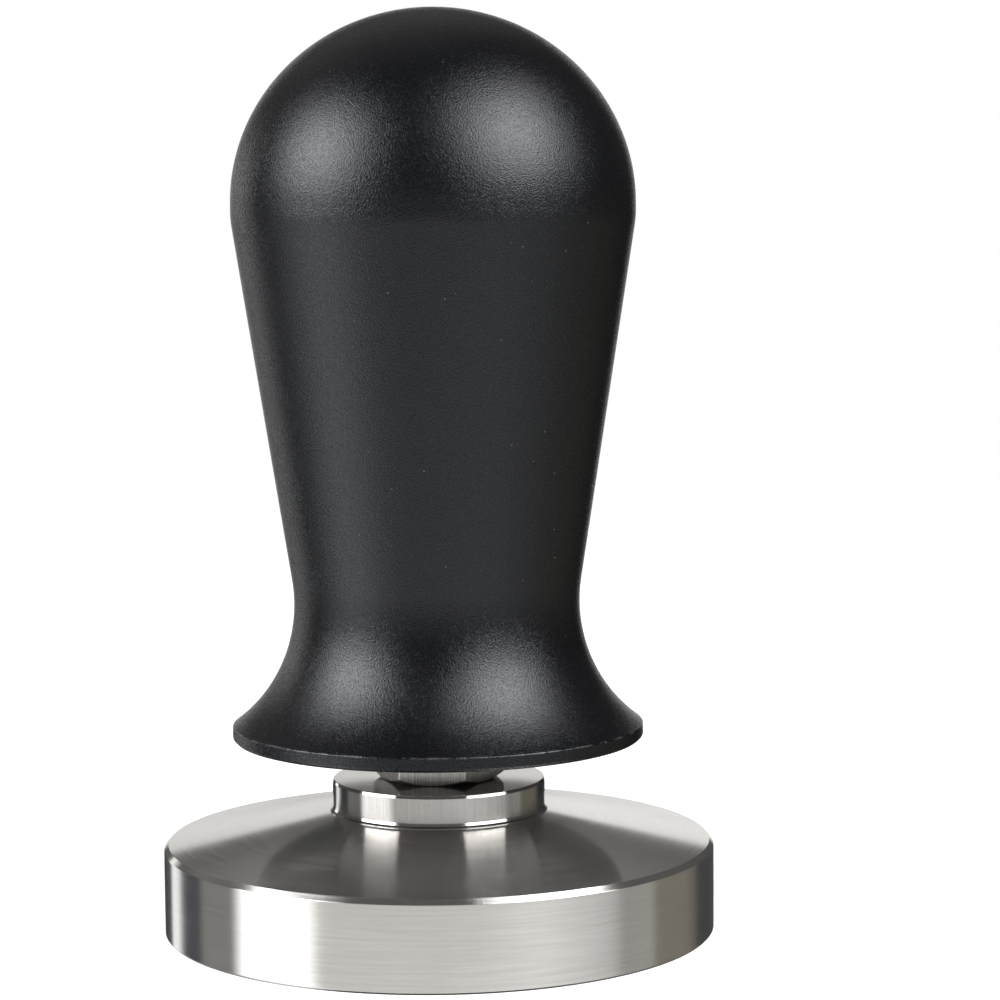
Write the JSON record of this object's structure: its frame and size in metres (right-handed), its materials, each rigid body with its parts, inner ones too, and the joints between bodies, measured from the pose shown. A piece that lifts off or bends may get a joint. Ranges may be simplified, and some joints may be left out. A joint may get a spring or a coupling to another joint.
{
  "type": "espresso tamper",
  "caption": "Spring-loaded espresso tamper: flat round steel base, polished collar, hexagonal neck and a black pear-shaped handle that slides down on a calibrated spring.",
  "frame": {"origin": "centre of the tamping face, the flat underside of the base", "axes": "+Z runs from the tamping face up the axis of the handle; +X and +Y are free, since the tool is round"},
  "size_m": [0.058, 0.058, 0.0964],
  "materials": {
    "turned_steel": "turned, fine circumferential lines",
    "polished_steel": "finely turned and polished",
    "nut_steel": "drawn hexagon, fine lines along the axis",
    "ground_steel": "ground",
    "piston_aluminium": "turned",
    "wear_plastic": "natural acetal",
    "fastener_steel": "plain",
    "spring_steel": "drawn wire",
    "gland_aluminium": "turned, bare",
    "wiper_rubber": "satin",
    "bush_bronze": "turned bronze",
    "handle_black": "fine matt black coating"
  },
  "bodies": {
    "plunger": {"base": "turned_steel", "collar_ring": "polished_steel", "lock_nut": "nut_steel", "plunger_shaft": "ground_steel", "guide_piston": "piston_aluminium", "piston_wear_ring": "wear_plastic", "lock_washer": "fastener_steel", "piston_screw": "fastener_steel", "preload_shim": "fastener_steel", "main_spring": "spring_steel"},
    "spring_head": {"upper_spring_seat": "ground_steel"},
    "handle": {"handle_shell": "handle_black", "retaining_gland": "gland_aluminium", "wiper_ring": "wiper_rubber", "guide_bush": "bush_bronze", "rebound_bumper": "wear_plastic", "thrust_washer": "wear_plastic"}
  },
  "joints": [
    {"name": "press", "type": "slide", "parent": "plunger", "child": "spring_head", "axis": [0, 0, -1], "range_m": [0, 0.0043], "stiffness_N_per_m": 10600, "springref_m": -0.008, "deforming": ["main_spring"]},
    {"name": "spin", "type": "hinge", "parent": "spring_head", "child": "handle", "pos_m": [0, 0, 0.083], "axis": [0, 0, 1], "continuous": true}
  ]
}
